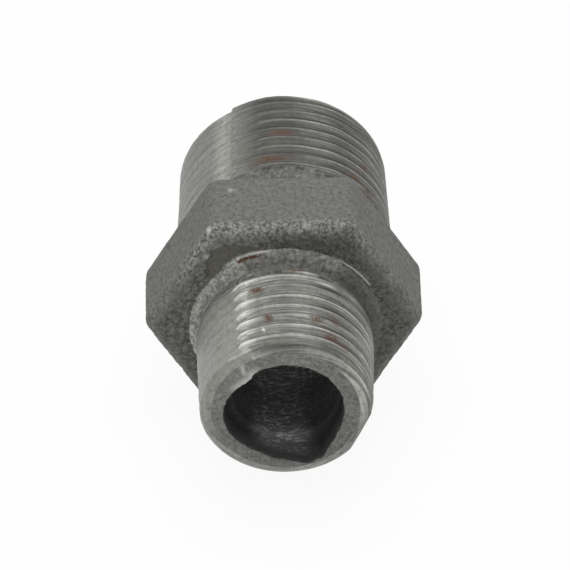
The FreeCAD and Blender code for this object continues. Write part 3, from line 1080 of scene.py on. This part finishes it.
def iron_finish():
    """Bare iron: grainy skin, machined thread, sooty hole and rust, with painted light, shade and
    highlights, told apart by the marks.
    """
    colour = bpy.context.scene.nipple_finish
    made = Finish("bare_iron")
    clumps, sand, blotch = made.grain(1.6, 7.0, 0.75), made.grain(3.1, 4.0, 0.65), made.grain(0.3)
    fine, folded = made.scratches(0.16, 4.5), made.folds()
    cut, edge, streak = made.mark("cut_iron"), made.mark("edge"), made.mark("streak")
    hole, tone = made.mark("hole"), made.mark("tone")
    rusty = made.product(made.mark("rust"), made.between(sand, 0.36, 0.54))

    skin = cast_skin(made, colour, clumps, sand, edge)
    surface = made.colours(cut, skin, cut_thread(made, colour, clumps, fine, streak))
    # Painted light and shade over the whole surface
    surface = made.times(surface, tone)
    surface = made.cover(surface, colour.olive, made.between(blotch, 0.5, 0.7), 0.25)
    surface = made.cover(surface, colour.olive, made.mark("olive"), made.between(clumps, 0.7, 0.4))
    # Painted highlights, in the crest colour
    surface = made.cover(surface, colour.crest, made.mark("bright"), made.between(fine, 0.34, 0.5))
    surface = made.colours(rusty, surface, colour.rust)
    surface = made.colours(hole, surface, hole_wall(made, colour, folded, tone))

    roughness = made.values(cut, 0.75, made.between(fine, 0.3, 0.7, 0.5, 0.34))
    roughness = made.values(rusty, roughness, 0.85)
    roughness = made.values(hole, roughness, 0.8)
    metal = made.product(cut, made.between(rusty, 0.0, 0.5, 0.55, 0.0))
    metal = made.values(hole, metal, 0.0)
    cast = made.maths("ADD", made.product(clumps, 0.75), made.product(sand, 0.25))
    height = made.values(made.product(streak, cut), cast, made.product(fine, 0.35))
    height = made.values(hole, height, folded)
    strength = made.maths("MAXIMUM", made.between(edge, 0.1, 0.6, 0.4, 0.9), hole)
    bump = made.node("ShaderNodeBump", {"Height": height, "Distance": 0.2 * MM, "Strength": strength})

    links = made.tree.links
    links.new(surface, made.shader.inputs["Base Color"])
    links.new(roughness, made.shader.inputs["Roughness"])
    links.new(metal, made.shader.inputs["Metallic"])
    links.new(bump.outputs["Normal"], made.shader.inputs["Normal"])
    made.shader.inputs["Specular IOR Level"].default_value = 0.35
    return made.material


class OBJECT_OT_nipple_casting(bpy.types.Operator):
    """Make the nipple, with its threads, hexagon and stepped hole"""

    bl_idname = "object.nipple_casting"
    bl_label = "Nipple"

    def execute(self, context):
        mesh = mesh_from(build_skin(), "nipple_casting")
        casting = bpy.data.objects.new("nipple_casting", mesh)
        context.scene.collection.objects.link(casting)
        mesh.materials.append(iron_finish())
        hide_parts(NODE)
        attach(casting, "root")
        return {"FINISHED"}


def seen_as_white(tree, lit, output, emitter, share=1.0):
    """Show white to the camera and in reflections, by a share, and the lit surface to everything else."""
    path = tree.nodes.new("ShaderNodeLightPath")
    seen = path.outputs["Is Camera Ray"]
    for ray in ("Is Glossy Ray", "Is Transmission Ray"):
        either = tree.nodes.new("ShaderNodeMath")
        either.operation = "MAXIMUM"
        tree.links.new(seen, either.inputs[0])
        tree.links.new(path.outputs[ray], either.inputs[1])
        seen = either.outputs[0]
    amount = tree.nodes.new("ShaderNodeMath")
    amount.operation = "MULTIPLY"
    amount.inputs[1].default_value = share
    white = tree.nodes.new(emitter)
    white.inputs["Color"].default_value = (1.0, 1.0, 1.0, 1.0)
    white.inputs["Strength"].default_value = 1.0
    mix = tree.nodes.new("ShaderNodeMixShader")
    tree.links.new(seen, amount.inputs[0])
    tree.links.new(amount.outputs[0], mix.inputs[0])
    tree.links.new(lit, mix.inputs[1])
    tree.links.new(white.outputs[0], mix.inputs[2])
    tree.links.new(mix.outputs[0], output.inputs["Surface"])


class OBJECT_OT_nipple_stage(bpy.types.Operator):
    """Set up the pale floor, the soft light and the camera"""

    bl_idname = "object.nipple_stage"
    bl_label = "Stage"

    def execute(self, context):
        settings = context.scene.nipple_stage
        self.add_floor(context, settings)
        self.add_sky(context, settings)
        self.add_softbox(context, settings)
        self.add_camera(context, settings)
        context.scene.view_settings.view_transform = "Standard"
        return {"FINISHED"}

    def add_floor(self, context, settings):
        mesh = bpy.data.meshes.new("floor")
        side = settings.floor_width / 2
        corners = [(-side, -side, 0), (side, -side, 0), (side, side, 0), (-side, side, 0)]
        mesh.from_pydata(corners, [], [(0, 1, 2, 3)])
        floor = bpy.data.objects.new("floor", mesh)
        context.scene.collection.objects.link(floor)
        material = bpy.data.materials.new("pale_floor")
        material.use_nodes = True
        tree = material.node_tree
        shader = tree.nodes["Principled BSDF"]
        shader.inputs["Base Color"].default_value = (*settings.floor, 1.0)
        shader.inputs["Roughness"].default_value = 0.9
        output = tree.nodes["Material Output"]
        seen_as_white(tree, shader.outputs[0], output, "ShaderNodeEmission", settings.floor_white)
        mesh.materials.append(material)

    def add_sky(self, context, settings):
        world = bpy.data.worlds.new("room")
        world.use_nodes = True
        tree = world.node_tree
        sky = tree.nodes["Background"]
        sky.inputs["Color"].default_value = (1.0, 1.0, 1.0, 1.0)
        sky.inputs["Strength"].default_value = settings.sky
        seen_as_white(tree, sky.outputs[0], tree.nodes["World Output"], "ShaderNodeBackground")
        context.scene.world = world

    def add_softbox(self, context, settings):
        """Hang a square soft light overhead, aimed at the middle of the floor."""
        lamp = bpy.data.lights.new("top_softbox", "AREA")
        lamp.shape = "SQUARE"
        lamp.size = settings.softbox_size
        lamp.energy = settings.softbox_power
        box = bpy.data.objects.new("top_softbox", lamp)
        box.location = settings.softbox_place
        box.rotation_mode = "QUATERNION"
        box.rotation_quaternion = (-Vector(settings.softbox_place)).to_track_quat("-Z", "Y")
        context.scene.collection.objects.link(box)

    def add_camera(self, context, settings):
        """Place the camera so that the picture frames the nipple as the photograph does."""
        look = bpy.data.cameras.new("camera")
        look.lens = settings.lens
        look.clip_end = 10.0
        camera = bpy.data.objects.new("camera", look)
        height = settings.camera_height
        away = Vector((0.0, -math.cos(height), math.sin(height))) * settings.camera_distance
        camera.location = Vector(settings.camera_aim) + away
        level = Euler((math.radians(90) - height, 0.0, 0.0)).to_quaternion()
        camera.rotation_mode = "QUATERNION"
        camera.rotation_quaternion = level @ Quaternion((0.0, 0.0, 1.0), settings.camera_roll)
        context.scene.collection.objects.link(camera)
        context.scene.camera = camera


class VIEW3D_PT_nipple(bpy.types.Panel):
    bl_label = "Nipple"
    bl_idname = "VIEW3D_PT_nipple"
    bl_space_type = "VIEW_3D"
    bl_region_type = "UI"
    bl_category = "Nipple"

    def draw(self, context):
        layout = self.layout
        for group, heading in SETTINGS:
            layout.label(text=heading)
            settings = getattr(context.scene, group)
            for name in settings.__annotations__:
                layout.prop(settings, name)
        for operator in (OBJECT_OT_nipple_casting, OBJECT_OT_nipple_stage):
            layout.operator(operator.bl_idname)


SETTINGS = (
    ("nipple_casting", "Casting"),
    ("nipple_large_end", "Large end"),
    ("nipple_small_end", "Small end"),
    ("nipple_finish", "Iron"),
    ("nipple_stage", "Stage"),
)
GROUPS = (CastingSizes, LargeEndSizes, SmallEndSizes, IronFinish, StageSettings)
CLASSES = GROUPS + (OBJECT_OT_nipple_casting, OBJECT_OT_nipple_stage, VIEW3D_PT_nipple)


def register():
    for made in CLASSES:
        bpy.utils.register_class(made)
    for (name, _), group in zip(SETTINGS, GROUPS):
        setattr(bpy.types.Scene, name, PointerProperty(type=group))


def unregister():
    for name, _ in SETTINGS:
        delattr(bpy.types.Scene, name)
    for made in reversed(CLASSES):
        bpy.utils.unregister_class(made)


def main():
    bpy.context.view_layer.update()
    register()
    bpy.ops.object.nipple_casting()
    bpy.ops.object.nipple_stage()


if __name__ == "__main__":
    main()
